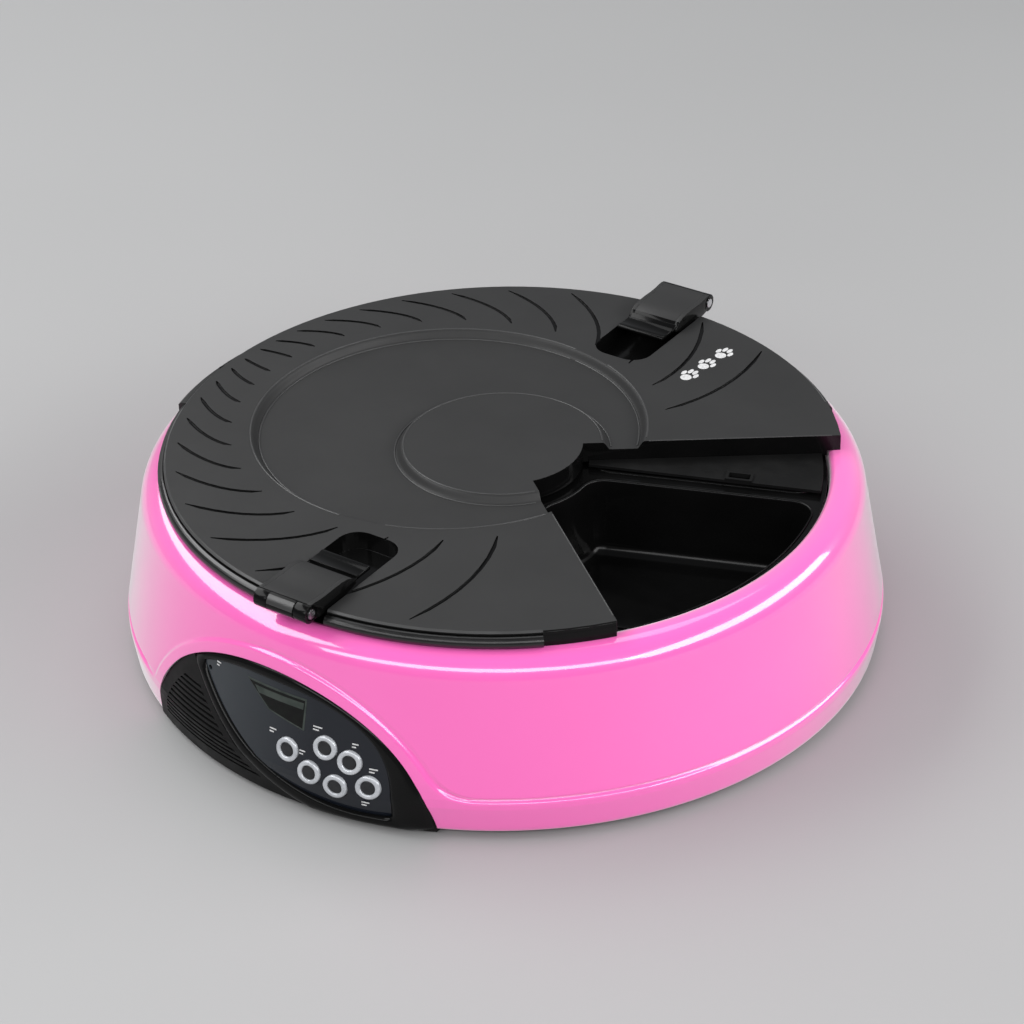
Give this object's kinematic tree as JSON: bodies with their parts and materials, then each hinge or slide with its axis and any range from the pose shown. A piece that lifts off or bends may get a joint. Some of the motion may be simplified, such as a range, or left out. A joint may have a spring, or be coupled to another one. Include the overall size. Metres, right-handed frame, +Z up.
{
  "type": "automatic pet feeder",
  "caption": "Round programmable pet feeder: bowls turn in a well under a latched lid that opens over one of them, with a control panel on the side.",
  "frame": {"origin": "on the floor, under the centre of the ring", "axes": "+Z up, the turntable's axis; the control panel faces -Y and the lid's opening faces +X"},
  "size_m": [0.324, 0.3249, 0.0914],
  "materials": {
    "pink_gloss": "glossy moulded plastic",
    "black_matte": "fine matte texture",
    "lid_grey": "fine matte texture with gloss edges",
    "black_gloss": "polished",
    "window_tint": "tinted clear panel",
    "lcd_grey": "display glass in a dark frame",
    "button_grey": "satin light grey with a dark centre",
    "steel": "bright",
    "rubber_black": "moulded",
    "gear_white": "acetal",
    "board_green": "solder mask over glass fibre",
    "battery_wrap": "plastic sleeve",
    "part_black": "moulded"
  },
  "bodies": {
    "base": {"outer_ring": "pink_gloss", "base_housing": "black_matte", "bottom_cover": "black_matte", "foot_1": "rubber_black", "foot_2": "rubber_black", "foot_3": "rubber_black", "foot_4": "rubber_black", "base_screws": "steel", "tray_well": "black_matte", "thrust_washer": "gear_white", "gear_motor": "steel", "motor_screws": "steel", "position_switch": "part_black", "control_fascia": "black_matte", "display_bezel": "black_gloss", "display_window": "window_tint", "lcd_module": "lcd_grey", "circuit_board": "board_green", "touch_switches": "part_black", "board_screws": "steel", "speaker": "part_black", "microphone": "steel", "battery_1": "battery_wrap", "battery_2": "battery_wrap", "battery_3": "battery_wrap", "battery_4": "battery_wrap", "contact_plate_left": "steel", "contact_plate_right": "steel", "battery_springs": "steel"},
    "lid": {"lid": "lid_grey", "guard_plate": "lid_grey"},
    "latch_front": {"latch_front": "lid_grey", "latch_pin_front": "steel"},
    "latch_back": {"latch_back": "lid_grey", "latch_pin_back": "steel"},
    "turntable": {"turntable": "gear_white", "drive_gear": "gear_white", "spindle_screw": "steel"},
    "tray": {"food_tray": "black_gloss", "food_bowls": "black_gloss"},
    "pinion": {"motor_pinion": "gear_white"},
    "battery_door": {"battery_door": "black_matte"},
    "button_1": {"button_1": "button_grey"},
    "button_2": {"button_2": "button_grey"},
    "button_3": {"button_3": "button_grey"},
    "button_4": {"button_4": "button_grey"},
    "button_5": {"button_5": "button_grey"},
    "button_6": {"button_6": "button_grey"}
  },
  "joints": [
    {"name": "lid_lift", "type": "slide", "parent": "base", "child": "lid", "axis": [0, 0, 1], "range_m": [0, 0.12]},
    {"name": "latch_front_hinge", "type": "hinge", "parent": "lid", "child": "latch_front", "pos_m": [0.00522, -0.14941, 0.087], "axis": [0.9994, 0.0349, 0], "range_deg": [0, 70]},
    {"name": "latch_back_hinge", "type": "hinge", "parent": "lid", "child": "latch_back", "pos_m": [-0.00522, 0.14941, 0.087], "axis": [-0.9994, -0.0349, 0], "range_deg": [0, 70]},
    {"name": "turntable_spin", "type": "hinge", "parent": "base", "child": "turntable", "pos_m": [0, 0, 0.035], "axis": [0, 0, 1], "continuous": true},
    {"name": "pinion_spin", "type": "hinge", "parent": "base", "child": "pinion", "pos_m": [0.03083, -0.02587, 0.03], "axis": [0, 0, 1], "continuous": true},
    {"name": "tray_lift", "type": "slide", "parent": "turntable", "child": "tray", "axis": [0, 0, 1], "range_m": [0, 0.06]},
    {"name": "battery_door_hinge", "type": "hinge", "parent": "base", "child": "battery_door", "pos_m": [0, 0.039, 0.0057], "axis": [-1, 0, 0], "range_deg": [0, 95]},
    {"name": "button_1_press", "type": "slide", "parent": "base", "child": "button_1", "axis": [0, 1, 0], "range_m": [0, 0.001], "stiffness_N_per_m": 900},
    {"name": "button_2_press", "type": "slide", "parent": "base", "child": "button_2", "axis": [0, 1, 0], "range_m": [0, 0.001], "stiffness_N_per_m": 900},
    {"name": "button_3_press", "type": "slide", "parent": "base", "child": "button_3", "axis": [0, 1, 0], "range_m": [0, 0.001], "stiffness_N_per_m": 900},
    {"name": "button_4_press", "type": "slide", "parent": "base", "child": "button_4", "axis": [0, 1, 0], "range_m": [0, 0.001], "stiffness_N_per_m": 900},
    {"name": "button_5_press", "type": "slide", "parent": "base", "child": "button_5", "axis": [0, 1, 0], "range_m": [0, 0.001], "stiffness_N_per_m": 900},
    {"name": "button_6_press", "type": "slide", "parent": "base", "child": "button_6", "axis": [0, 1, 0], "range_m": [0, 0.001], "stiffness_N_per_m": 900}
  ],
  "couplings": [
    {"joint": "pinion_spin", "follows": "turntable_spin", "ratio": -5.6667},
    {"joint": "tray_lift", "follows": "lid_lift", "ratio": 0.5}
  ]
}
